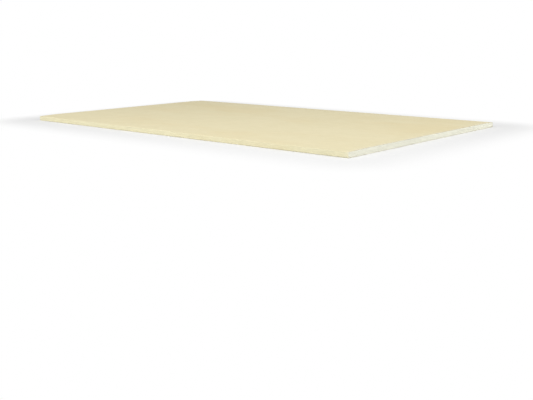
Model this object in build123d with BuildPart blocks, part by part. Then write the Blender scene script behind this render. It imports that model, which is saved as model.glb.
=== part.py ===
from build123d import *
import os
from math import atan2, tan

# A drywall sheet lying face up: a gypsum core set between two papers, with tapered long edges and square cut ends.
# X runs along the sheet, Y across it and Z up from its back, with the origin at the middle of the back.

# Sheet, in millimetres
sheet_length = 1000.0
sheet_width = 600.0
sheet_thickness = 12.5

# Papers
face_paper_thickness = 0.35
back_paper_thickness = 0.35

# Tapers that sink the face along both long edges, to take the jointing filler
taper_width = 50.0
taper_depth = 1.3
taper_blend_length = 16.0

# Folds of the face paper round the long edges, and its flaps on the back
face_fold_radius = 1.6
back_fold_radius = 1.4
flap_width = 30.0
bare_flap_width = 14.0

# Section, with the face paper meeting the long edge at edge_top
half_width = sheet_width / 2
edge_top = sheet_thickness - taper_depth
taper_angle = atan2(taper_depth, taper_width)
taper_blend_radius = taper_blend_length / 2 / tan(taper_angle / 2)
width_between_flaps = sheet_width - 2 * flap_width
back_paper_width = sheet_width - 2 * bare_flap_width

# Outside of the face paper, closed across the back at the height where its flaps lie on the back paper
with BuildSketch(Plane.YZ) as wrapped_section:
    with BuildLine():
        FilletPolyline(
            (0, back_paper_thickness),
            (half_width, back_paper_thickness),
            (half_width, edge_top),
            (half_width - taper_width, sheet_thickness),
            (0, sheet_thickness),
            radius=[back_fold_radius, face_fold_radius, taper_blend_radius],
        )
        mirror(about=Plane.YZ)
    make_face()

# Gypsum core: fills the wrapped face paper, and stands down between its flaps to meet the back paper
with BuildPart() as gypsum_core:
    with BuildSketch(Plane.YZ):
        add(wrapped_section.sketch_local)
        offset(amount=-face_paper_thickness)
        with Locations((0, back_paper_thickness)):
            Rectangle(width_between_flaps, face_paper_thickness, align=(Align.CENTER, Align.MIN))
    extrude(amount=sheet_length / 2, both=True)

# Face paper: one sheet over the face, round both long edges and folded onto the back in two flaps
with BuildPart() as face_paper:
    with BuildSketch(Plane.YZ):
        add(wrapped_section.sketch_local)
        offset(amount=-face_paper_thickness, mode=Mode.SUBTRACT)
        with Locations((0, back_paper_thickness)):
            Rectangle(
                width_between_flaps,
                face_paper_thickness,
                align=(Align.CENTER, Align.MIN),
                mode=Mode.SUBTRACT,
            )
    extrude(amount=sheet_length / 2, both=True)

# Back paper: flat over the back, glued to the core and over the inner part of both flaps
with BuildPart() as back_paper:
    with BuildSketch(Plane.YZ):
        Rectangle(back_paper_width, back_paper_thickness, align=(Align.CENTER, Align.MIN))
    extrude(amount=sheet_length / 2, both=True)

gypsum_core.part.label = "gypsum_core"
face_paper.part.label = "face_paper"
back_paper.part.label = "back_paper"

os.makedirs("parts", exist_ok=True)
export_step(gypsum_core.part, "parts/gypsum_core.step")
export_step(face_paper.part, "parts/face_paper.step")
export_step(back_paper.part, "parts/back_paper.step")
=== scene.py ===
"""Looks of a drywall sheet, laid out as a Blender add-on and run as a script.

A gypsum core with rough cut ends, an ivory face paper folded round both long edges and a grey back paper
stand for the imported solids. They are in metres and in the same frame: X along the sheet, Y across it and
Z up from its back.
"""
import math

import bpy
import numpy as np
from bpy.props import FloatProperty, FloatVectorProperty, PointerProperty
from mathutils import Euler, Matrix, Vector, noise


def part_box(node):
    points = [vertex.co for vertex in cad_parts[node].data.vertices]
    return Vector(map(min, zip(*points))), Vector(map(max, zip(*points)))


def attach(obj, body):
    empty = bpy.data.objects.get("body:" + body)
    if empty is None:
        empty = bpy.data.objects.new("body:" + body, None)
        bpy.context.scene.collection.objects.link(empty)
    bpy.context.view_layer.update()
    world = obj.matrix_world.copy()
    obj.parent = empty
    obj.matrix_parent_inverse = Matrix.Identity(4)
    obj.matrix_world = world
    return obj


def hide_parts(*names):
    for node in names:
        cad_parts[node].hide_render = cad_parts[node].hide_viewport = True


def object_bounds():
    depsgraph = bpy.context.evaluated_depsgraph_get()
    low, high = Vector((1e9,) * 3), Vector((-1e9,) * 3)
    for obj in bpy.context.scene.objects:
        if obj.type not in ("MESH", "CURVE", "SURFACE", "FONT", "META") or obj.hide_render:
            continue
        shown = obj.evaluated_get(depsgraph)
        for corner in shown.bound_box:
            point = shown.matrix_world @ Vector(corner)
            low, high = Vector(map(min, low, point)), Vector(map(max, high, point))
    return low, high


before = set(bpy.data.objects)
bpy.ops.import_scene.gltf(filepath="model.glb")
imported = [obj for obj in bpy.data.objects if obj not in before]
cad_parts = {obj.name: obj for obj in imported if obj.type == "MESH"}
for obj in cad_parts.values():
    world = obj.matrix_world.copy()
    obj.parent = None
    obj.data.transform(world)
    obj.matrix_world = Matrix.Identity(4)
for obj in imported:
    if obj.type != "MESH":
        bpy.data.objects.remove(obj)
CAD_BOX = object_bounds()

bl_info = {
    "name": "Drywall Sheet",
    "version": (1, 0, 0),
    "blender": (4, 5, 0),
    "location": "View3D > Sidebar > Drywall",
    "description": "Builds a paper-faced gypsum sheet with tapered long edges and rough cut ends",
    "category": "Add Mesh",
}

MM = 0.001
WHITE = (1, 1, 1, 1)

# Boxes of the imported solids, from which the default sizes come
SHEET_LOW, SHEET_HIGH = CAD_BOX
CORE_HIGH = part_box("gypsum_core")[1]
BACK_LOW, BACK_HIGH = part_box("back_paper")
SHEET_SIZE = SHEET_HIGH - SHEET_LOW
FACE_PAPER = SHEET_HIGH.y - CORE_HIGH.y
BACK_PAPER = BACK_HIGH.z - BACK_LOW.z
BARE_FLAP = SHEET_HIGH.y - BACK_HIGH.y

# Spacing of mesh points: round and along the papers, beside their cut edges, and over the core's ends
PAPER_STEP = 1.0 * MM
PAPER_STATION_STEP = 100.0 * MM
PAPER_TRIM = 4.0 * MM
CORE_STEP = 0.42 * MM
FOLD_SEGMENTS = 10
BLEND_SEGMENTS = 8
FLAP_STEP_WIDTH = 0.1 * MM


def length_property(name, description, default):
    """A size in metres, shown in the user's length unit."""
    return FloatProperty(
        name=name, description=description, default=default, min=0, unit="LENGTH", precision=5
    )


def colour_property(name, description, default):
    """A linear colour with a colour picker."""
    return FloatVectorProperty(
        name=name, description=description, default=default, size=3, min=0, max=1, subtype="COLOR"
    )


def angle_property(name, description, degrees):
    """An angle, shown in the user's angle unit."""
    return FloatProperty(name=name, description=description, default=math.radians(degrees), unit="ROTATION")


def power_property(name, description, default):
    """The power of a lamp in watts."""
    return FloatProperty(name=name, description=description, default=default, min=0, unit="POWER")


class SheetSizes(bpy.types.PropertyGroup):
    """Sizes of the sheet and of its papers."""

    length: length_property("Length", "Length along the wrapped edges", SHEET_SIZE.x)
    width: length_property("Width", "Width across the wrapped edges", SHEET_SIZE.y)
    thickness: length_property("Thickness", "Thickness between the tapers", SHEET_SIZE.z)
    face_paper: length_property("Face paper", "Thickness of the face paper", FACE_PAPER)
    back_paper: length_property("Back paper", "Thickness of the back paper", BACK_PAPER)
    taper_width: length_property("Taper width", "Width of the sunken band along each long edge", 50 * MM)
    taper_depth: length_property("Taper depth", "Depth of the sunken band at the long edge", 1.3 * MM)
    taper_blend: length_property("Taper blend", "Length over which the taper eases into the face", 16 * MM)
    face_fold: length_property("Face fold", "Outer radius where the paper leaves the face", 1.6 * MM)
    back_fold: length_property("Back fold", "Outer radius where the paper turns onto the back", 1.4 * MM)
    flap: length_property("Flap", "Width of the face paper's flaps on the back", 30 * MM)
    bare_flap: length_property("Bare flap", "Strip of each flap beyond the back paper", BARE_FLAP)


class SheetFinish(bpy.types.PropertyGroup):
    """Colours of the papers and the core, and how rough the cut ends are."""

    ivory: colour_property("Ivory", "Face paper where its fibres lie thin", (0.853, 0.770, 0.515))
    ivory_shade: colour_property("Ivory shade", "Face paper where its fibres clump", (0.812, 0.732, 0.479))
    # Warm ivory: random warm streaks, set in place so that the warmest also paint a warmer light to the back
    # and the right
    ivory_warm: colour_property("Warm ivory", "Streaks in the face paper", (0.80, 0.67, 0.38))
    # Edge ivory and edge shade: painted light, a paler and greener tint on the wrapped long edges that
    # stands for how those sides look in the light
    painted_light_edge_ivory: colour_property("Edge ivory", "Wrapped edges where fibres lie thin", (0.843, 0.791, 0.551))
    painted_light_edge_clumped: colour_property("Edge shade", "Wrapped edges where fibres clump", (0.800, 0.748, 0.505))
    grey: colour_property("Grey", "Back paper where its fibres lie thin", (0.46, 0.41, 0.33))
    grey_shade: colour_property("Grey shade", "Back paper where its fibres clump", (0.36, 0.315, 0.25))
    grey_warm: colour_property("Warm grey", "Streaks in the back paper", (0.40, 0.325, 0.235))
    ply: colour_property("Ply", "Cut plies of either paper", (0.60, 0.53, 0.40))
    gypsum: colour_property("Gypsum", "Cut gypsum", (0.855, 0.848, 0.721))
    gypsum_shade: colour_property("Gypsum shade", "Gypsum in the scored lines", (0.770, 0.763, 0.644))
    # Pore: painted shade, a darker colour laid into the pore bowls where shade falls in them
    pore: colour_property("Pore", "Inside of the fine air pores", (0.62, 0.61, 0.52))
    dust: colour_property("Dust", "Gypsum dust on the papers beside the cut ends", (0.88, 0.87, 0.80))
    core_recess: length_property("Core recess", "Depth of the core behind the papers' cut edges", 0.3 * MM)
    core_relief: length_property("Core relief", "Height of the broken gypsum at the cut ends", 0.16 * MM)
    core_chips: length_property("Core chips", "Depth of the chips beside the papers", 1.0 * MM)
    pit_radius: length_property("Pit radius", "Middle radius of the larger air pits", 0.5 * MM)
    pit_spacing: length_property("Pit spacing", "Mean distance between the larger air pits", 3.6 * MM)
    paper_ragged: length_property("Ragged paper", "Depth of nicks along the papers' cut edges", 0.22 * MM)


class SheetStage(bpy.types.PropertyGroup):
    """Camera, light and floor."""

    camera_place: FloatVectorProperty(
        name="Camera place", description="Where the camera stands", default=(1.2718, -1.4085, 0.2205),
        size=3, subtype="TRANSLATION", unit="LENGTH",
    )
    heading: angle_property("Heading", "Turn of the camera to the left of +Y", 41.18)
    pitch: angle_property("Pitch", "Tilt of the camera below the horizon", 12.47)
    roll: angle_property("Roll", "Turn of the camera about its own view", -0.36)
    lens: FloatProperty(
        name="Lens", description="Focal length on a 36 mm wide sensor", default=50.58, unit="CAMERA"
    )
    floor: colour_property("Floor", "Pale studio floor", (0.86, 0.86, 0.86))
    key_power: power_property("Key light", "Power of the front softbox", 33.0)
    fill_power: power_property("Fill light", "Power of the side softbox", 28.0)
    top_power: power_property("Top light", "Power of the overhead softbox", 14.0)
    sky: FloatProperty(
        name="Sky", description="Strength of the even light from all round", default=0.3, min=0
    )


# Node trees

COLUMN_WIDTH = 220
ROW_HEIGHT = 180
VECTOR = "NodeSocketVector"
VALUE = "NodeSocketFloat"
COLOUR = "NodeSocketColor"

NOISE_MEAN = 0.5

# Numbers of a Mix node's colour sockets, because it has sockets of the same name for every kind of data
MIX_COLOURS = (6, 7)
MIX_RESULT = 2


def add_node(tree, kind, label, place, inputs=None, **settings):
    """One node of a tree at a column and row, with its settings made and its inputs set or linked."""
    node = tree.nodes.new(kind)
    node.label = label
    node.location = (place[0] * COLUMN_WIDTH, -place[1] * ROW_HEIGHT)
    for name, value in settings.items():
        setattr(node, name, value)
    for socket, value in (inputs or {}).items():
        if isinstance(value, bpy.types.NodeSocket):
            tree.links.new(value, node.inputs[socket])
        else:
            node.inputs[socket].default_value = value
    return node


def math_node(tree, operation, label, place, *values):
    """The result of a Math node."""
    inputs = dict(enumerate(values))
    return add_node(tree, "ShaderNodeMath", label, place, inputs, operation=operation).outputs[0]


def vector_node(tree, operation, label, place, first, second=(0, 0, 0)):
    """The result of a Vector Math node."""
    node = add_node(tree, "ShaderNodeVectorMath", label, place, {0: first, 1: second}, operation=operation)
    return node.outputs["Vector"]


def ramp_node(tree, label, place, value, low, high, to_low=0.0, to_high=1.0):
    """A smooth step of a value from one range to another."""
    inputs = {"Value": value, "From Min": low, "From Max": high, "To Min": to_low, "To Max": to_high}
    node = add_node(tree, "ShaderNodeMapRange", label, place, inputs, interpolation_type="SMOOTHSTEP")
    return node.outputs["Result"]


def noise_node(tree, label, place, vector, detail, roughness=0.6, distortion=0.0):
    """The value of a Noise texture, between 0 and 1 and near its mean for the most part."""
    shape = {"Scale": 1, "Detail": detail, "Roughness": roughness, "Distortion": distortion}
    return add_node(tree, "ShaderNodeTexNoise", label, place, {"Vector": vector, **shape}).outputs[0]


def cell_nodes(tree, label, place, vector):
    """The distance to the nearest of many scattered points, and two random draws of that point."""
    cells = add_node(tree, "ShaderNodeTexVoronoi", label, place, {"Vector": vector, "Scale": 1})
    beside = (place[0] + 1, place[1] + 1)
    draws = add_node(tree, "ShaderNodeSeparateColor", label + " draws", beside, {0: cells.outputs["Color"]})
    return cells.outputs["Distance"], draws.outputs[0], draws.outputs[1]


def mix_node(tree, label, place, factor, first, second):
    """The colour between two colours."""
    inputs = {"Factor": factor, MIX_COLOURS[0]: first, MIX_COLOURS[1]: second}
    return add_node(tree, "ShaderNodeMix", label, place, inputs, data_type="RGBA").outputs[MIX_RESULT]


def axis_nodes(tree, label, place, vector):
    """The three axes of a vector."""
    return add_node(tree, "ShaderNodeSeparateXYZ", label, place, {0: vector}).outputs


def rgba(colour):
    """A colour property as the four numbers of a colour socket."""
    return (*colour, 1.0)


def new_group(name, inputs, outputs):
    """An empty shader node group with named sockets, and the sockets of its two ends."""
    tree = bpy.data.node_groups.new(name, "ShaderNodeTree")
    for way, sockets in (("INPUT", inputs), ("OUTPUT", outputs)):
        for socket, kind in sockets.items():
            tree.interface.new_socket(socket, in_out=way, socket_type=kind)
    return tree, tree.nodes.new("NodeGroupInput").outputs, tree.nodes.new("NodeGroupOutput").inputs


def place_group(tree, name, label, place, inputs):
    """The outputs of a shared group, built at its first use and placed in a tree with its own values."""
    group = bpy.data.node_groups.get(name) or SHARED_GROUPS[name](name)
    return add_node(tree, "ShaderNodeGroup", label, place, inputs, node_tree=group).outputs


# Shared effects

FIBRE_INPUTS = {
    "Position": VECTOR,
    "Cloud Size": VALUE,
    "Fibre Length": VALUE,
    "Speck Spacing": VALUE,
    "Speck Share": VALUE,
}
FIBRE_OUTPUTS = dict.fromkeys(("Cloud", "Dark Fibre", "Light Fibre", "Speck", "Height"), VALUE)

# Fibres are counted in fibre lengths: their run along the sheet, the breaks between them and the felt below
FIBRE_RUN = (0.7, 1.0, 1.0)
FIBRE_BREAKS = (2.3, 2.3, -2.3)
FIBRE_WIDTH = (0.014, 0.002)
FIBRE_SHARE = (0.52, 0.6)
DARK_PLACE = (3.7, 8.1, 0.4)
LIGHT_PLACE = (11.3, 2.9, 6.6)
FELT_GRAIN = (2.2, 5.0, 5.0)
SPECK_REACH = 0.035


def loose_fibres(tree, label, grid, shift, row):
    """Thin lines along the level line of a noise, broken into single fibres."""
    moved = vector_node(tree, "ADD", label + " place", (2, row), grid, shift)
    drawn = vector_node(tree, "MULTIPLY", label + " run", (2, row + 1), moved, FIBRE_RUN)
    level = noise_node(tree, label + " lines", (3, row), drawn, detail=1.0, distortion=0.3)
    from_line = math_node(tree, "SUBTRACT", label + " from the line", (4, row), level, NOISE_MEAN)
    off_line = math_node(tree, "ABSOLUTE", label + " gap", (5, row), from_line)
    line = ramp_node(tree, label + " width", (6, row), off_line, *FIBRE_WIDTH)
    turned = vector_node(tree, "MULTIPLY", label + " breaks", (3, row + 1), moved, FIBRE_BREAKS)
    share = noise_node(tree, label + " share", (4, row + 1), turned, detail=1.0)
    kept = ramp_node(tree, label + " ends", (5, row + 1), share, *FIBRE_SHARE)
    return math_node(tree, "MULTIPLY", label, (7, row), line, kept)


def scattered_specks(tree, position, spacing, share):
    """Small round specks of many sizes, of which only a share is kept."""
    grid = vector_node(tree, "DIVIDE", "speck grid", (1, 6), position, spacing)
    distance, first_draw, second_draw = cell_nodes(tree, "specks", (2, 6), grid)
    kept = math_node(tree, "LESS_THAN", "kept specks", (4, 6), first_draw, share)
    reach = math_node(tree, "MULTIPLY", "speck size", (4, 7), second_draw, SPECK_REACH)
    inside_speck = math_node(tree, "LESS_THAN", "inside a speck", (5, 7), distance, reach)
    return math_node(tree, "MULTIPLY", "specks shown", (6, 6), kept, inside_speck)


def paper_fibres(name):
    """Fibres of a liner paper: soft clouds, loose dark and light fibres, specks and the felt's height."""
    tree, given, result = new_group(name, FIBRE_INPUTS, FIBRE_OUTPUTS)
    position = given["Position"]
    cloud_grid = vector_node(tree, "DIVIDE", "cloud grid", (1, 0), position, given["Cloud Size"])
    cloud = noise_node(tree, "clouds", (2, 0), cloud_grid, detail=6.0, roughness=0.66)
    fibre_grid = vector_node(tree, "DIVIDE", "fibre grid", (1, 1), position, given["Fibre Length"])
    dark = loose_fibres(tree, "dark fibres", fibre_grid, DARK_PLACE, 1)
    light = loose_fibres(tree, "light fibres", fibre_grid, LIGHT_PLACE, 3)
    felt_grid = vector_node(tree, "MULTIPLY", "felt grid", (2, 5), fibre_grid, FELT_GRAIN)
    felt = noise_node(tree, "felt", (3, 5), felt_grid, detail=3.0, distortion=0.5)
    specks = scattered_specks(tree, position, given["Speck Spacing"], given["Speck Share"])
    lines = math_node(tree, "ADD", "all fibres", (8, 2), dark, light)
    height = math_node(tree, "ADD", "felt and fibres", (9, 4), felt, lines)
    for socket, value in zip(FIBRE_OUTPUTS, (cloud, dark, light, specks, height)):
        tree.links.new(value, result[socket])
    return tree


def machine_streaks(name):
    """Straight streaks that a machine leaves along its run, given the run as X of the position."""
    inputs = {"Position": VECTOR, "Streak Length": VALUE, "Streak Width": VALUE}
    tree, given, result = new_group(name, inputs, {"Streak": VALUE})
    size_inputs = {0: given["Streak Length"], 1: given["Streak Width"], 2: given["Streak Width"]}
    size = add_node(tree, "ShaderNodeCombineXYZ", "streak size", (1, 1), size_inputs).outputs[0]
    grid = vector_node(tree, "DIVIDE", "streak grid", (2, 0), given["Position"], size)
    tree.links.new(noise_node(tree, "streaks", (3, 0), grid, detail=4.0, roughness=0.65), result["Streak"])
    return tree


def streak_node(tree, label, place, position, size):
    """Machine streaks of a given size, placed in a tree."""
    return place_group(tree, "Machine Streaks", label, place, {"Position": position, **size})["Streak"]


WORN_DUST = (0.42, 0.68)


def cut_dust(name):
    """Gypsum dust that clings to a paper beside the cut ends and thins out in patches."""
    inputs = {"Position": VECTOR, "Half Length": VALUE, "Reach": VALUE, "Patch Size": VALUE}
    tree, given, result = new_group(name, inputs, {"Dust": VALUE})
    along = axis_nodes(tree, "along the sheet", (1, 0), given["Position"])[0]
    from_middle = math_node(tree, "ABSOLUTE", "from the middle", (2, 0), along)
    from_cut = math_node(tree, "SUBTRACT", "from the cut", (3, 0), given["Half Length"], from_middle)
    share = math_node(tree, "DIVIDE", "share of the reach", (4, 0), from_cut, given["Reach"])
    near = ramp_node(tree, "near the cut", (5, 0), share, 1.0, 0.0)
    grid = vector_node(tree, "DIVIDE", "patch grid", (3, 1), given["Position"], given["Patch Size"])
    patches = noise_node(tree, "patches", (4, 1), grid, detail=6.0, roughness=0.7)
    worn = ramp_node(tree, "worn patches", (5, 1), patches, *WORN_DUST)
    tree.links.new(math_node(tree, "MULTIPLY", "dust", (6, 0), near, worn), result["Dust"])
    return tree


PAPER_INPUTS = {
    **FIBRE_INPUTS,
    "Normal": VECTOR,
    "Half Length": VALUE,
    "Thin Colour": COLOUR,
    "Clumped Colour": COLOUR,
    "Warm Colour": COLOUR,
    "Speck Colour": COLOUR,
    "Ply Colour": COLOUR,
    "Dust Colour": COLOUR,
    "Streak Share": VALUE,
    "Warm Strength": VALUE,
    "Fibre Strength": VALUE,
    "Speck Strength": VALUE,
    "Dust Strength": VALUE,
    "Thin Roughness": VALUE,
    "Clumped Roughness": VALUE,
}
PAPER_OUTPUTS = {"Colour": COLOUR, "Roughness": VALUE, "Height": VALUE}
BROAD_STREAK = {"Streak Length": 900 * MM, "Streak Width": 22 * MM}
FINE_STREAK = {"Streak Length": 250 * MM, "Streak Width": 1.6 * MM}
TONE_RANGE = (0.3, 0.7)
CUT_PLY_RANGE = (0.6, 0.9)
DUST_SIZES = {"Reach": 14 * MM, "Patch Size": 6 * MM}

# The warm streaks are the paper's own random colour, but their place in the noise puts the warmest to the
# back and the right, as painted light: a warmer cast there that stands for how the light falls
WARM_STREAK = {"Streak Length": 500 * MM, "Streak Width": 220 * MM}
PAINTED_WARM_LIGHT_PLACE = (2.93, -4.04, -6.52)
WARM_RANGE = (0.44, 0.66)


def cut_ply_mask(tree, normal):
    """The cut plies of a paper, which look along the sheet."""
    along = axis_nodes(tree, "surface direction", (1, 6), normal)[0]
    facing_along = math_node(tree, "ABSOLUTE", "along the sheet", (2, 6), along)
    return ramp_node(tree, "cut plies", (3, 6), facing_along, *CUT_PLY_RANGE)


def paper_tone(tree, cloud, broad, fine, streak_share):
    """How thin the fibres lie, from 0 where they clump to 1, by the streaks' share and the clouds."""
    both = math_node(tree, "ADD", "both streaks", (2, 2), broad, fine)
    streak = math_node(tree, "MULTIPLY", "mean streak", (3, 2), both, 0.5)
    gap = math_node(tree, "SUBTRACT", "streak less cloud", (4, 2), streak, cloud)
    tone = math_node(tree, "MULTIPLY_ADD", "tone", (5, 2), gap, streak_share, cloud)
    return ramp_node(tree, "tone range", (6, 2), tone, *TONE_RANGE)


def liner_paper(name):
    """A liner paper: clouds, streaks, fibres and specks, its cut plies and the dust beside them."""
    tree, given, result = new_group(name, PAPER_INPUTS, PAPER_OUTPUTS)
    position = given["Position"]
    fibre_inputs = {socket: given[socket] for socket in FIBRE_INPUTS}
    fibres = place_group(tree, "Paper Fibres", "fibres", (1, 0), fibre_inputs)
    broad = streak_node(tree, "broad streaks", (1, 2), position, BROAD_STREAK)
    fine = streak_node(tree, "fine streaks", (1, 3), position, FINE_STREAK)
    # Painted light: this shift puts the warmest streaks to the back and the right of the face
    warm_place = vector_node(tree, "ADD", "place of the warm streaks", (1, 4), position, PAINTED_WARM_LIGHT_PLACE)
    warm = streak_node(tree, "warm streaks", (2, 4), warm_place, WARM_STREAK)
    warm = ramp_node(tree, "warm range", (3, 4), warm, *WARM_RANGE)
    dust_inputs = {"Position": position, "Half Length": given["Half Length"], **DUST_SIZES}
    dust = place_group(tree, "Cut Dust", "dust", (1, 5), dust_inputs)
    tone = paper_tone(tree, fibres["Cloud"], broad, fine, given["Streak Share"])
    colour = mix_node(tree, "bare paper", (6, 0), tone, given["Clumped Colour"], given["Thin Colour"])
    layers = (
        ("warm streaks", warm, given["Warm Strength"], given["Warm Colour"]),
        ("dark fibres", fibres["Dark Fibre"], given["Fibre Strength"], given["Speck Colour"]),
        ("pale fibres", fibres["Light Fibre"], given["Fibre Strength"], WHITE),
        ("specks", fibres["Speck"], given["Speck Strength"], given["Speck Colour"]),
        ("cut plies", cut_ply_mask(tree, given["Normal"]), 1.0, given["Ply Colour"]),
        ("dust", dust["Dust"], given["Dust Strength"], given["Dust Colour"]),
    )
    for column, (label, mask, strength, tint) in enumerate(layers, start=7):
        share = math_node(tree, "MULTIPLY", label + " share", (column, 1), mask, strength)
        colour = mix_node(tree, "with " + label, (column, 0), share, colour, tint)
    ends = given["Clumped Roughness"], given["Thin Roughness"]
    roughness = ramp_node(tree, "roughness", (7, 2), tone, 0.0, 1.0, *ends)
    height = math_node(tree, "ADD", "height", (7, 3), fibres["Height"], fine)
    for socket, value in zip(PAPER_OUTPUTS, (colour, roughness, height)):
        tree.links.new(value, result[socket])
    return tree


SHARED_GROUPS = {
    "Paper Fibres": paper_fibres,
    "Machine Streaks": machine_streaks,
    "Cut Dust": cut_dust,
    "Liner Paper": liner_paper,
}

# Materials

IVORY_LOOK = {
    "Speck Colour": (0.45, 0.36, 0.20, 1.0),
    "Cloud Size": 32 * MM,
    "Fibre Length": 2.6 * MM,
    "Speck Spacing": 9 * MM,
    "Speck Share": 0.35,
    "Streak Share": 0.45,
    "Warm Strength": 0.38,
    "Fibre Strength": 0.08,
    "Speck Strength": 0.5,
    "Dust Strength": 0.4,
    "Thin Roughness": 0.76,
    "Clumped Roughness": 0.86,
}
IVORY_RELIEF = 0.04 * MM
IVORY_SPECULAR = 0.28
GREY_LOOK = {
    "Speck Colour": (0.16, 0.135, 0.10, 1.0),
    "Cloud Size": 18 * MM,
    "Fibre Length": 3.4 * MM,
    "Speck Spacing": 5 * MM,
    "Speck Share": 0.6,
    "Streak Share": 0.35,
    "Warm Strength": 0.5,
    "Fibre Strength": 0.24,
    "Speck Strength": 0.7,
    "Dust Strength": 0.6,
    "Thin Roughness": 0.86,
    "Clumped Roughness": 0.95,
}
GREY_RELIEF = 0.08 * MM
GREY_SPECULAR = 0.2


def new_material(name):
    """A material with one Principled BSDF, its node tree and the position on the sheet."""
    material = bpy.data.materials.new(name)
    material.use_nodes = True
    tree = material.node_tree
    tree.nodes.clear()
    shader = add_node(tree, "ShaderNodeBsdfPrincipled", "surface", (13, 0))
    add_node(tree, "ShaderNodeOutputMaterial", "output", (15, 0), {"Surface": shader.outputs[0]})
    position = add_node(tree, "ShaderNodeTexCoord", "place on the sheet", (-2, 0)).outputs["Object"]
    return material, tree, shader, position


def link_surface(tree, shader, colour, roughness, height, relief, specular):
    """Joins colour, roughness and relief to the shader."""
    bump_inputs = {"Strength": 1.0, "Distance": relief, "Height": height}
    bump = add_node(tree, "ShaderNodeBump", "relief", (12, 3), bump_inputs)
    tree.links.new(colour, shader.inputs["Base Color"])
    tree.links.new(roughness, shader.inputs["Roughness"])
    tree.links.new(bump.outputs[0], shader.inputs["Normal"])
    shader.inputs["Specular IOR Level"].default_value = specular


def place_paper(tree, position, sizes, finish, look):
    """The colour, roughness and height of a liner paper with its own colours and values."""
    normal = add_node(tree, "ShaderNodeNewGeometry", "surface direction", (7, 3)).outputs["Normal"]
    inputs = {
        "Position": position,
        "Normal": normal,
        "Half Length": sizes.length / 2,
        "Ply Colour": rgba(finish.ply),
        "Dust Colour": rgba(finish.dust),
        **look,
    }
    paper = place_group(tree, "Liner Paper", "liner paper", (9, 0), inputs)
    return [paper[socket] for socket in PAPER_OUTPUTS]


def ivory_paper(sizes, finish):
    """Smooth ivory face paper, with painted light on the wrapped long edges: a paler, greener tint that
    stands for how those sides look lit.
    """
    material, tree, shader, position = new_material("ivory_paper")
    across = axis_nodes(tree, "across the sheet", (0, 5), position)[1]
    from_middle = math_node(tree, "ABSOLUTE", "from the middle", (1, 5), across)
    half = sizes.width / 2
    flat_ends = half - sizes.face_fold
    # Painted light: the wrapped long edges get their own paler, greener colours
    edge = ramp_node(tree, "wrapped edge", (2, 5), from_middle, flat_ends, half - sizes.face_paper)
    thin_colours = rgba(finish.ivory), rgba(finish.painted_light_edge_ivory)
    clumped_colours = rgba(finish.ivory_shade), rgba(finish.painted_light_edge_clumped)
    look = {
        "Thin Colour": mix_node(tree, "thin fibres", (4, 5), edge, *thin_colours),
        "Clumped Colour": mix_node(tree, "clumped fibres", (4, 6), edge, *clumped_colours),
        "Warm Colour": rgba(finish.ivory_warm),
        **IVORY_LOOK,
    }
    paper = place_paper(tree, position, sizes, finish, look)
    link_surface(tree, shader, *paper, IVORY_RELIEF, IVORY_SPECULAR)
    return material


def grey_paper(sizes, finish):
    """Coarser grey-brown back paper of recycled fibres."""
    material, tree, shader, position = new_material("grey_paper")
    look = {
        "Thin Colour": rgba(finish.grey),
        "Clumped Colour": rgba(finish.grey_shade),
        "Warm Colour": rgba(finish.grey_warm),
        **GREY_LOOK,
    }
    paper = place_paper(tree, position, sizes, finish, look)
    link_surface(tree, shader, *paper, GREY_RELIEF, GREY_SPECULAR)
    return material


SCORED_LINE = {"Streak Length": 120 * MM, "Streak Width": 1.2 * MM}
SCORED_BAND = {"Streak Length": 300 * MM, "Streak Width": 20 * MM}
SCORED_TONE = (0.7, 1.2)
GRAIN_SIZE = 0.6 * MM
GRAIN_RANGE = (0.3, 0.7)
GYPSUM_ROUGHNESS = (0.88, 0.98)
GYPSUM_RELIEF = 0.25 * MM
GYPSUM_SPECULAR = 0.2

# Pores are counted in pore spacings
PORE_SPACING = 0.8 * MM
PORE_REACH = 0.5
FEW_LARGE_PORES = 2.5
CRUMBLED_MOUTH = 0.5
PORE_BOWL = (-0.25, 0.15)


def air_pores(tree, position, grain):
    """Bowls of fine air pores with crumbled mouths, few of them large."""
    grid = vector_node(tree, "DIVIDE", "pore grid", (1, 2), position, (PORE_SPACING,) * 3)
    distance, draw = cell_nodes(tree, "pores", (2, 2), grid)[:2]
    mostly_small = math_node(tree, "POWER", "few large pores", (4, 3), draw, FEW_LARGE_PORES)
    reach = math_node(tree, "MULTIPLY", "pore size", (5, 3), mostly_small, PORE_REACH)
    crumbled = math_node(tree, "MULTIPLY_ADD", "crumbled mouths", (5, 2), grain, CRUMBLED_MOUTH, distance)
    depth = math_node(tree, "SUBTRACT", "inside a pore", (6, 2), reach, crumbled)
    return ramp_node(tree, "pore bowls", (7, 2), depth, *PORE_BOWL)


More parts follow.
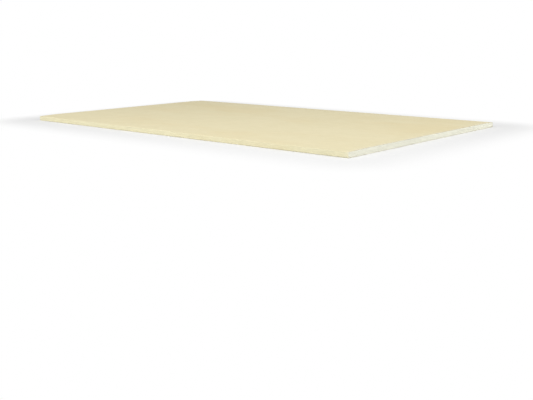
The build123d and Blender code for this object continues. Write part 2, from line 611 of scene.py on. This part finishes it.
def cut_gypsum(finish):
    """Chalky gypsum with lines scored along the cut and fine air pores, whose bowls are darkened with
    painted shade.
    """
    material, tree, shader, position = new_material("cut_gypsum")
    axes = axis_nodes(tree, "axes", (-1, 0), position)
    turned_inputs = {0: axes[1], 1: axes[0], 2: axes[2]}
    turned = add_node(tree, "ShaderNodeCombineXYZ", "run of the cut", (0, 0), turned_inputs).outputs[0]
    lines = streak_node(tree, "scored lines", (1, 0), turned, SCORED_LINE)
    bands = streak_node(tree, "scored bands", (1, 1), turned, SCORED_BAND)
    tone = math_node(tree, "ADD", "tone", (3, 0), lines, bands)
    tone = ramp_node(tree, "tone range", (4, 0), tone, *SCORED_TONE)
    colour = mix_node(tree, "gypsum", (6, 0), tone, rgba(finish.gypsum_shade), rgba(finish.gypsum))
    grain_grid = vector_node(tree, "DIVIDE", "grain grid", (1, 4), position, (GRAIN_SIZE,) * 3)
    grain = noise_node(tree, "crystal grain", (3, 4), grain_grid, detail=4.0, roughness=0.7)
    pores = air_pores(tree, position, grain)
    # Painted shade: the pore bowls are darkened in colour, most where they are deepest
    colour = mix_node(tree, "with painted shade in the pores", (8, 0), pores, colour, rgba(finish.pore))
    roughness = ramp_node(tree, "roughness", (8, 1), grain, *GRAIN_RANGE, *GYPSUM_ROUGHNESS)
    height = math_node(tree, "ADD", "grain and lines", (6, 4), grain, lines)
    height = math_node(tree, "SUBTRACT", "less the pores", (8, 4), height, pores)
    link_surface(tree, shader, colour, roughness, height, GYPSUM_RELIEF, GYPSUM_SPECULAR)
    return material


# Sections of the papers: points (y, z, outward angle) round their outside


def line_stretch(start, end, outward, step):
    """Points along a straight stretch, without its last point."""
    count = max(1, math.ceil(math.dist(start, end) / step))
    shares = np.arange(count) / count
    points = np.outer(1 - shares, start) + np.outer(shares, end)
    return np.column_stack([points, np.full(count, outward)])


def arc_stretch(centre, radius, start, end, segments):
    """Points along an arc, without its last point."""
    angles = start + (end - start) * np.arange(segments) / segments
    y, z = centre[0] + radius * np.cos(angles), centre[1] + radius * np.sin(angles)
    return np.column_stack([y, z, angles])


def half_section(sizes):
    """The +Y half of the face paper, from its flap's inner edge round the long edge to mid face."""
    half = sizes.width / 2
    low = sizes.back_paper
    slope = math.atan2(sizes.taper_depth, sizes.taper_width)
    edge_top = sizes.thickness - sizes.taper_depth
    fold_run = sizes.face_fold * math.tan((math.pi / 2 - slope) / 2)
    blend_run = sizes.taper_blend / 2
    blend_radius = blend_run / math.tan(slope / 2)
    taper_top = half - sizes.taper_width
    down, out, up = -math.pi / 2, 0, math.pi / 2
    tilted = up - slope
    back_centre = (half - sizes.back_fold, low + sizes.back_fold)
    face_centre = (half - sizes.face_fold, edge_top - fold_run)
    blend_centre = (taper_top - blend_run, sizes.thickness - blend_radius)
    taper_foot = (half - fold_run * math.cos(slope), edge_top + fold_run * math.sin(slope))
    taper_head = (taper_top + blend_run * math.cos(slope), sizes.thickness - blend_run * math.sin(slope))
    stretches = [
        line_stretch((half - sizes.flap, low), (back_centre[0], low), down, PAPER_STEP),
        arc_stretch(back_centre, sizes.back_fold, down, out, FOLD_SEGMENTS),
        line_stretch((half, back_centre[1]), (half, face_centre[1]), out, PAPER_STEP),
        arc_stretch(face_centre, sizes.face_fold, out, tilted, FOLD_SEGMENTS),
        line_stretch(taper_foot, taper_head, tilted, PAPER_STEP),
        arc_stretch(blend_centre, blend_radius, tilted, up, BLEND_SEGMENTS),
        line_stretch((blend_centre[0], sizes.thickness), (0, sizes.thickness), up, PAPER_STEP),
        [(0, sizes.thickness, up)],
    ]
    return np.vstack(stretches)


def whole_section(sizes):
    """The half section and its mirror image, in one run from the +Y flap to the -Y flap."""
    right = half_section(sizes)
    left = right[-2::-1] * (-1, 1, -1) + (0, 0, math.pi)
    return np.vstack([right, left])


def back_section(sizes):
    """The outside of the back paper, in one run from -Y to +Y."""
    reach = sizes.width / 2 - sizes.bare_flap
    down = -math.pi / 2
    return np.vstack([line_stretch((-reach, 0), (reach, 0), down, PAPER_STEP), [(reach, 0, down)]])


def inset(section, depth):
    """Points (y, z) moved in by a depth, against their outward angle."""
    angles = section[:, 2]
    return section[:, :2] - depth * np.column_stack([np.cos(angles), np.sin(angles)])


# Meshes

SHARP_ANGLE = math.radians(35)


def band_faces(first, second, closed):
    """Quads between two equal runs of vertex numbers."""
    pairs = list(zip(first.tolist(), second.tolist()))
    if closed:
        pairs.append(pairs[0])
    return [(a, b, d, c) for (a, c), (b, d) in zip(pairs, pairs[1:])]


def make_piece(name, node, material, vertices, faces):
    """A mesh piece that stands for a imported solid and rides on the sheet's body."""
    mesh = bpy.data.meshes.new(name)
    mesh.from_pydata(vertices.tolist(), [], faces)
    if mesh.validate():
        raise RuntimeError(f"the mesh of {name} has faults")
    mesh.shade_smooth()
    mesh.set_sharp_from_angle(angle=SHARP_ANGLE)
    mesh.materials.append(material)
    piece = bpy.data.objects.new(name, mesh)
    bpy.context.scene.collection.objects.link(piece)
    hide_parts(node)
    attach(piece, "root")
    return piece


# The octaves of a fractal noise are given by their fall-off, their step in scale and their number, and a
# shift for the left and the right end makes the two differ
NICK_LENGTH = 2.2 * MM
NICK_OCTAVES = (0.7, 2.0, 3)
NICK_SHIFTS = (1.5, 7.5)


def ragged_edge(run, depth, shift):
    """How far a paper's cut edge falls short at each place along its run."""
    nicks = [noise.fractal(Vector((place / NICK_LENGTH, shift, 0)), *NICK_OCTAVES) for place in run]
    return depth * np.clip(np.abs(nicks), 0, 1)


def section_run(section):
    """Length along a section up to each of its points."""
    steps = np.diff(section[:, :2], axis=0, prepend=section[:1, :2])
    return np.cumsum(np.linalg.norm(steps, axis=1))


def paper_strip(section, paper, sizes, ragged):
    """Vertices and faces of a paper: closed rings round its section, ragged at both cut ends."""
    outer = section[:, :2]
    count = len(outer)
    loop = np.vstack([outer, inset(section, paper)[::-1]])
    run = section_run(section)
    half = sizes.length / 2
    trimmed = half - PAPER_TRIM
    inner_stations = np.linspace(-trimmed, trimmed, math.ceil(2 * trimmed / PAPER_STATION_STEP) + 1)
    left_short, right_short = (ragged_edge(run, ragged, shift) for shift in NICK_SHIFTS)
    left_cut, right_cut = left_short - half, half - right_short
    stations = [left_cut, *(np.full(count, station) for station in inner_stations), right_cut]
    rings = [np.column_stack([np.concatenate([x, x[::-1]]), loop]) for x in stations]
    numbers = np.arange(len(rings) * len(loop)).reshape(len(rings), len(loop))
    faces = []
    for near, far in zip(numbers, numbers[1:]):
        faces += band_faces(near, far, closed=True)
    for ring, way in ((numbers[0], -1), (numbers[-1], 1)):
        outside, inside = ring[:count], ring[:count - 1:-1]
        faces += band_faces(*(outside, inside)[::way], closed=False)
    return np.vstack(rings), faces


def core_columns(sizes):
    """Places across the core: even, but closer at the rounded long edges and at the flaps' inner edges."""
    half = sizes.width / 2 - sizes.face_paper
    round_width = max(sizes.face_fold, sizes.back_fold)
    turns = np.linspace(0, math.pi / 2, FOLD_SEGMENTS + 1)
    rounded = half - round_width * (1 - np.sin(turns))
    flap_edge = sizes.width / 2 - sizes.flap
    even = np.linspace(0, rounded[0], math.ceil(rounded[0] / CORE_STEP) + 1)
    even = even[np.abs(even - flap_edge) > CORE_STEP / 2]
    flap_step = flap_edge + np.array([-1, 1]) * FLAP_STEP_WIDTH / 2
    right = np.unique(np.concatenate([even, flap_step, rounded]))
    return np.concatenate([-right[:0:-1], right])


def core_outline(sizes, columns):
    """Lowest and highest point of the core at each place across it."""
    section = half_section(sizes)
    skin = inset(section, sizes.face_paper)
    upper = skin[section[:, 2] >= 0][::-1]
    lower = skin[section[:, 2] <= 0]
    across = np.abs(columns)
    high = np.interp(across, upper[:, 0], upper[:, 1])
    low = np.interp(across, lower[:, 0], lower[:, 1])
    low[across < sizes.width / 2 - sizes.flap] = sizes.back_paper
    return low, high


END_SHIFTS = (2.5, 11.5)
LUMP_SIZE = 4.5 * MM
LUMP_OCTAVES = (0.8, 2.0, 3)
CRUMB_SIZE = 1.1 * MM
CRUMB_SHARE = 0.6
SKIN_DEPTH = 1.5 * MM
SKIN_SHARE = 0.35
CHIP_SIZE = 9.0 * MM
CHIP_LEVEL = 0.15
CHIP_REACH = 0.8 * MM


def broken_gypsum(y, z, low, high, finish, shift):
    """How far the gypsum lies behind the cut: lumps and crumbs, and chips beside the papers."""
    depth = np.empty(y.shape)
    beside_paper = np.clip(np.minimum(z - low, high - z), 0, None)
    calm = SKIN_SHARE + (1 - SKIN_SHARE) * np.clip(beside_paper / SKIN_DEPTH, 0, 1)
    layer = Vector((0, 0, shift))
    for index in np.ndindex(y.shape):
        place = Vector((y[index], z[index], 0))
        lumps = noise.fractal(place / LUMP_SIZE + layer, *LUMP_OCTAVES)
        crumbs = CRUMB_SHARE * noise.noise(place / CRUMB_SIZE + layer)
        chips = max(0.0, noise.noise(place / CHIP_SIZE - layer) - CHIP_LEVEL)
        depth[index] = finish.core_recess + finish.core_relief * calm[index] * (lumps + crumbs)
        depth[index] += finish.core_chips * chips * math.exp(-beside_paper[index] / CHIP_REACH)
    return depth


PIT_ASPECT = 0.7
PIT_SPREAD = 0.35
PIT_LIMITS = (0.6, 2.0)


def air_pits(y, z, finish, random):
    """Depth of round pits where air bubbles of the foamed gypsum were cut open."""
    depth = np.zeros(y.shape)
    columns = y[0]
    width, height = np.ptp(y), np.ptp(z)
    count = int(width * height / finish.pit_spacing**2)
    across = random.uniform(y.min(), y.max(), count)
    upwards = random.uniform(z.min(), z.max(), count)
    radii = finish.pit_radius * np.clip(random.lognormal(0, PIT_SPREAD, count), *PIT_LIMITS)
    for pit_y, pit_z, radius in zip(across, upwards, radii):
        first, last = np.searchsorted(columns, (pit_y - radius, pit_y + radius))
        gap = (y[:, first:last] - pit_y) ** 2 + (z[:, first:last] - pit_z) ** 2
        bowl = PIT_ASPECT * np.sqrt(np.clip(radius**2 - gap, 0, None))
        depth[:, first:last] = np.maximum(depth[:, first:last], bowl)
    return depth


# Places on a map for baking, which gives most of its pixels to what is seen

BAKE_MAP = "OFBake"
MIDDLE = 0.5
PAPER_SPAN = (0.01, 0.99)
OUTSIDE_BAND, INSIDE_BAND = (0.005, 0.90), (0.91, 0.93)
LONG_EDGE_BANDS = (0.936, 0.944), (0.950, 0.958)
CUT_EDGE_BANDS = (0.964, 0.976), (0.982, 0.994)
PAPER_BANDS = np.array([OUTSIDE_BAND, INSIDE_BAND, *LONG_EDGE_BANDS, *CUT_EDGE_BANDS])

# Numbers of a paper's bands, where the second long edge and the second cut edge follow the first
OUTSIDE, INSIDE, LONG_EDGE, CUT_EDGE = 0, 1, 2, 4

# The core's ends lie in strips, one above the other, and its side quads in one row, each with its corners at
# its own place and the next
END_STRIPS = 5
STRIP_FILL = 0.92
SIDE_CORNERS = (0, 1, 1, 0)


def quad_corners(mesh):
    """Numbers of the vertices at the corners of each quad, and their places."""
    numbers = np.empty(len(mesh.loops), dtype=np.int32)
    mesh.loops.foreach_get("vertex_index", numbers)
    numbers = numbers.reshape(-1, 4)
    return numbers, np.array([vertex.co for vertex in mesh.vertices])[numbers]


def store_map(mesh, u, v):
    """Keeps the places of all corners on the baked map."""
    layer = mesh.uv_layers.new(name=BAKE_MAP)
    layer.uv.foreach_set("vector", np.stack([u, v], axis=2).ravel().astype(np.float32))


def lay_out_paper(mesh, section, sizes):
    """Lays a paper's outside flat over most of the map, and its inside and its edges in bands."""
    numbers, places = quad_corners(mesh)
    run = section_run(section)
    count = len(run)
    ring, point = np.divmod(numbers, 2 * count)
    is_outer = point < count
    across = run[np.where(is_outer, point, 2 * count - 1 - point)] / run[-1]
    along = MIDDLE + places[:, :, 0] / sizes.length
    is_cut = np.ptp(ring, axis=1) == 0
    is_long_edge = (np.ptp(is_outer.astype(int), axis=1) == 1) & ~is_cut
    u = np.where(is_long_edge[:, None], along, across)
    v = np.where((is_long_edge | is_cut)[:, None], is_outer, along)
    kinds = is_cut, is_long_edge, is_outer.all(axis=1)
    second_cut, second_long = (part.mean(axis=1) > MIDDLE for part in (along, across))
    bands = CUT_EDGE + second_cut, LONG_EDGE + second_long, OUTSIDE
    low, high = PAPER_BANDS[np.select(kinds, bands, default=INSIDE)].T[:, :, None]
    store_map(mesh, np.interp(u, (0, 1), PAPER_SPAN), low + v * (high - low))


def lay_out_ends(mesh, sizes):
    """Lays the core's cut ends out in strips, and its hidden sides in a band."""
    places = quad_corners(mesh)[1]
    along = MIDDLE + places[:, :, 0] / sizes.length
    across = END_STRIPS * (MIDDLE + places[:, :, 1] / sizes.width)
    up = places[:, :, 2] / sizes.thickness
    is_side = np.ptp(along, axis=1) > MIDDLE
    sides = np.count_nonzero(is_side)
    strip = np.floor(across.mean(axis=1, keepdims=True))
    row = strip + END_STRIPS * np.round(along)
    u, v = across - strip, up
    u[is_side] = (np.arange(sides)[:, None] + SIDE_CORNERS) / sides
    v[is_side] = along[is_side]
    row[is_side] = 2 * END_STRIPS
    u, v = (MIDDLE + STRIP_FILL * (part - MIDDLE) for part in (u, v))
    store_map(mesh, u, (row + v) / (2 * END_STRIPS + 1))


SEED = 12


def core_mesh(sizes, finish):
    """Vertices and faces of the core: two broken ends joined by plain sides."""
    random = np.random.default_rng(SEED)
    columns = core_columns(sizes)
    low, high = core_outline(sizes, columns)
    rows = math.ceil((high - low).max() / CORE_STEP) + 1
    y = np.tile(columns, (rows, 1))
    z = low + np.linspace(0, 1, rows)[:, None] * (high - low)
    numbers = np.arange(2 * y.size).reshape(2, *y.shape)
    vertices, rims, faces = [], [], []
    for own, side, shift in zip(numbers, (-1, 1), END_SHIFTS):
        depth = broken_gypsum(y, z, low, high, finish, shift) + air_pits(y, z, finish, random)
        x = side * (sizes.length / 2 - np.clip(depth, 0, None))
        vertices.append(np.column_stack([x.ravel(), y.ravel(), z.ravel()]))
        for pair in zip(own, own[1:]):
            faces += band_faces(*pair[::side], closed=False)
        foot, right_side, head, left_side = own[0], own[1:, -1], own[-1, -2::-1], own[-2:0:-1, 0]
        rims.append(np.concatenate([foot, right_side, head, left_side]))
    faces += band_faces(*rims, closed=True)
    return np.vstack(vertices), faces


class CastCore(bpy.types.Operator):
    """Builds the gypsum core with its rough cut ends"""

    bl_idname = "drywall.cast_core"
    bl_label = "Cast Gypsum Core"

    def execute(self, context):
        sizes, finish = context.scene.sheet_sizes, context.scene.sheet_finish
        vertices, faces = core_mesh(sizes, finish)
        core = make_piece("cut_gypsum_core", "gypsum_core", cut_gypsum(finish), vertices, faces)
        lay_out_ends(core.data, sizes)
        return {"FINISHED"}


class WrapFacePaper(bpy.types.Operator):
    """Builds the ivory face paper, folded round both long edges"""

    bl_idname = "drywall.wrap_face_paper"
    bl_label = "Wrap Face Paper"

    def execute(self, context):
        sizes, finish = context.scene.sheet_sizes, context.scene.sheet_finish
        material = ivory_paper(sizes, finish)
        section = whole_section(sizes)
        vertices, faces = paper_strip(section, sizes.face_paper, sizes, finish.paper_ragged)
        paper = make_piece("folded_face_paper", "face_paper", material, vertices, faces)
        lay_out_paper(paper.data, section, sizes)
        return {"FINISHED"}


class GlueBackPaper(bpy.types.Operator):
    """Builds the grey back paper over the core and the flaps"""

    bl_idname = "drywall.glue_back_paper"
    bl_label = "Glue Back Paper"

    def execute(self, context):
        sizes, finish = context.scene.sheet_sizes, context.scene.sheet_finish
        material = grey_paper(sizes, finish)
        section = back_section(sizes)
        vertices, faces = paper_strip(section, sizes.back_paper, sizes, finish.paper_ragged)
        paper = make_piece("glued_back_paper", "back_paper", material, vertices, faces)
        lay_out_paper(paper.data, section, sizes)
        return {"FINISHED"}


# Stage, in metres: the floor glows a little, and turns white between two distances from the sheet

FLOOR_REACH = 14.0
FLOOR_FADE = (0.03, 0.16)
FLOOR_LIFT = 0.06
AIM = Vector((0, 0, 0))
KEY_PLACE, KEY_SIZE = Vector((-0.35, -2.35, 1.5)), (2.0, 1.2)
FILL_PLACE, FILL_SIZE = Vector((2.5, 0.6, 1.05)), (1.2, 1.2)
TOP_PLACE, TOP_SIZE = Vector((0.3, -0.7, 2.0)), (1.8, 1.2)


def softbox(name, place, size, power):
    """A soft area light that looks at the sheet."""
    data = bpy.data.lights.new(name, "AREA")
    data.shape = "RECTANGLE"
    data.size, data.size_y = size
    data.energy = power
    light = bpy.data.objects.new(name, data)
    light.location = place
    light.rotation_euler = (AIM - place).to_track_quat("-Z", "Y").to_euler()
    bpy.context.scene.collection.objects.link(light)


def seen_directly(tree, column, row):
    """1 for rays that show a surface: from the camera, in a gloss or through glass."""
    ray = add_node(tree, "ShaderNodeLightPath", "kind of ray", (column, row)).outputs
    rays = ray["Is Camera Ray"], ray["Is Glossy Ray"]
    shown = math_node(tree, "MAXIMUM", "camera or gloss", (column + 1, row), *rays)
    return math_node(tree, "MAXIMUM", "or glass", (column + 2, row), shown, ray["Is Transmission Ray"])


def floor_material(colour, sizes):
    """A pale matt floor that keeps the shadow beside the sheet and turns white further off."""
    material, tree, shader, position = new_material("studio_floor")
    shader.inputs["Base Color"].default_value = rgba(colour)
    shader.inputs["Roughness"].default_value = 1.0
    shader.inputs["Specular IOR Level"].default_value = 0.0
    shader.inputs["Emission Color"].default_value = WHITE
    shader.inputs["Emission Strength"].default_value = FLOOR_LIFT
    half = (sizes.length / 2, sizes.width / 2, 0)
    either_side = vector_node(tree, "ABSOLUTE", "either side", (-1, 1), position)
    past = vector_node(tree, "SUBTRACT", "past the edges", (0, 1), either_side, half)
    clear = vector_node(tree, "MAXIMUM", "clear of the sheet", (1, 1), past)
    distance = add_node(tree, "ShaderNodeVectorMath", "how far", (2, 1), {0: clear}, operation="LENGTH")
    far = ramp_node(tree, "far off", (3, 1), distance.outputs["Value"], *FLOOR_FADE)
    white_share = math_node(tree, "MULTIPLY", "white far off", (4, 1), far, seen_directly(tree, 0, 3))
    white = add_node(tree, "ShaderNodeEmission", "white", (13, 3), {"Color": WHITE, "Strength": 1.0})
    mixed_inputs = {0: white_share, 1: shader.outputs[0], 2: white.outputs[0]}
    mixed = add_node(tree, "ShaderNodeMixShader", "floor", (14, 1), mixed_inputs)
    output = tree.get_output_node("CYCLES")
    tree.links.new(mixed.outputs[0], output.inputs["Surface"])
    return material


def studio_world(strength):
    """Even light from all round, seen as plain white."""
    world = bpy.data.worlds.new("studio")
    world.use_nodes = True
    tree = world.node_tree
    tree.nodes.clear()
    lit = add_node(tree, "ShaderNodeBackground", "light", (3, 1), {"Color": WHITE, "Strength": strength})
    seen = add_node(tree, "ShaderNodeBackground", "white", (3, 2), {"Color": WHITE, "Strength": 1.0})
    mixed_inputs = {0: seen_directly(tree, 0, 0), 1: lit.outputs[0], 2: seen.outputs[0]}
    mixed = add_node(tree, "ShaderNodeMixShader", "light or white", (4, 0), mixed_inputs)
    add_node(tree, "ShaderNodeOutputWorld", "output", (5, 0), {"Surface": mixed.outputs[0]})
    return world


def studio_floor(colour, sizes):
    """A wide level floor under the sheet."""
    ways = ((-1, -1), (1, -1), (1, 1), (-1, 1))
    corners = [(x * FLOOR_REACH, y * FLOOR_REACH, SHEET_LOW.z) for x, y in ways]
    mesh = bpy.data.meshes.new("studio_floor")
    mesh.from_pydata(corners, [], [(0, 1, 2, 3)])
    mesh.materials.append(floor_material(colour, sizes))
    floor = bpy.data.objects.new("studio_floor", mesh)
    bpy.context.scene.collection.objects.link(floor)


def studio_camera(stage):
    """The camera, headed, pitched and rolled."""
    data = bpy.data.cameras.new("camera")
    data.sensor_fit = "HORIZONTAL"
    data.lens = stage.lens
    camera = bpy.data.objects.new("camera", data)
    camera.location = stage.camera_place
    level = Euler((math.pi / 2 - stage.pitch, 0, stage.heading)).to_matrix()
    camera.rotation_euler = (level @ Matrix.Rotation(stage.roll, 3, "Z")).to_euler()
    bpy.context.scene.collection.objects.link(camera)
    bpy.context.scene.camera = camera


class SetStage(bpy.types.Operator):
    """Makes the floor, the light and the camera"""

    bl_idname = "drywall.set_stage"
    bl_label = "Set Stage"

    def execute(self, context):
        sizes, stage = context.scene.sheet_sizes, context.scene.sheet_stage
        studio_floor(stage.floor, sizes)
        softbox("key_softbox", KEY_PLACE, KEY_SIZE, stage.key_power)
        softbox("fill_softbox", FILL_PLACE, FILL_SIZE, stage.fill_power)
        softbox("top_softbox", TOP_PLACE, TOP_SIZE, stage.top_power)
        context.scene.world = studio_world(stage.sky)
        studio_camera(stage)
        context.scene.view_settings.view_transform = "Standard"
        return {"FINISHED"}


class SheetPanel(bpy.types.Panel):
    """Sizes, finish and stage of the sheet, and the operators that build it"""

    bl_idname = "VIEW3D_PT_drywall_sheet"
    bl_label = "Drywall Sheet"
    bl_space_type = "VIEW_3D"
    bl_region_type = "UI"
    bl_category = "Drywall"

    def draw(self, context):
        for name, kind in SETTINGS.items():
            box = self.layout.box()
            for setting in kind.__annotations__:
                box.prop(getattr(context.scene, name), setting)
        for operator in OPERATORS:
            self.layout.operator(operator.bl_idname)


OPERATORS = (CastCore, WrapFacePaper, GlueBackPaper, SetStage)
SETTINGS = {"sheet_sizes": SheetSizes, "sheet_finish": SheetFinish, "sheet_stage": SheetStage}


def register():
    """Registers the classes and gives every scene the sheet's settings."""
    for kind in (*SETTINGS.values(), *OPERATORS, SheetPanel):
        bpy.utils.register_class(kind)
    for name, kind in SETTINGS.items():
        setattr(bpy.types.Scene, name, PointerProperty(type=kind))


def unregister():
    """Takes the settings and the classes away again."""
    for name in SETTINGS:
        delattr(bpy.types.Scene, name)
    for kind in (SheetPanel, *OPERATORS, *SETTINGS.values()):
        bpy.utils.unregister_class(kind)


def main():
    """Builds the sheet on its stage."""
    register()
    bpy.ops.drywall.cast_core()
    bpy.ops.drywall.wrap_face_paper()
    bpy.ops.drywall.glue_back_paper()
    bpy.ops.drywall.set_stage()


if __name__ == "__main__":
    main()
